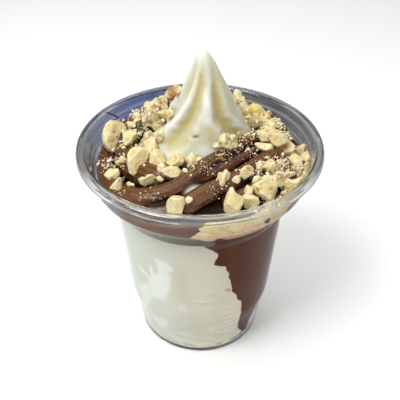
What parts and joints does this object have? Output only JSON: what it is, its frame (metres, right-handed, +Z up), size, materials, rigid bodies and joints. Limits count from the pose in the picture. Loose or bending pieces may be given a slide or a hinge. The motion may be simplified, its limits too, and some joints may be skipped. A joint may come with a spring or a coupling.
{
  "type": "cup of ice cream",
  "caption": "Clear plastic cup of vanilla and chocolate soft serve, with a fluted vanilla peak, chocolate coils and chopped nuts on top.",
  "frame": {"origin": "centre of the circle that the cup stands on", "axes": "+Z up, -Y towards the side that the picture shows, +X to its right, where the chocolate runs down"},
  "size_m": [0.098, 0.098, 0.1346],
  "materials": {
    "clear_plastic": "clear, smooth and glossy",
    "vanilla": "creamy, softly shining",
    "chocolate": "creamy, wet shine",
    "nut": "dry, cut faces"
  },
  "bodies": {
    "root": {"cup": "clear_plastic", "vanilla_filling": "vanilla", "chocolate_pour": "chocolate", "chocolate_swirl": "chocolate", "vanilla_peak": "vanilla", "nut_01": "nut", "nut_02": "nut", "nut_03": "nut", "nut_04": "nut", "nut_05": "nut", "nut_06": "nut", "nut_07": "nut", "nut_08": "nut", "nut_09": "nut", "nut_10": "nut", "nut_11": "nut", "nut_12": "nut"}
  },
  "joints": []
}
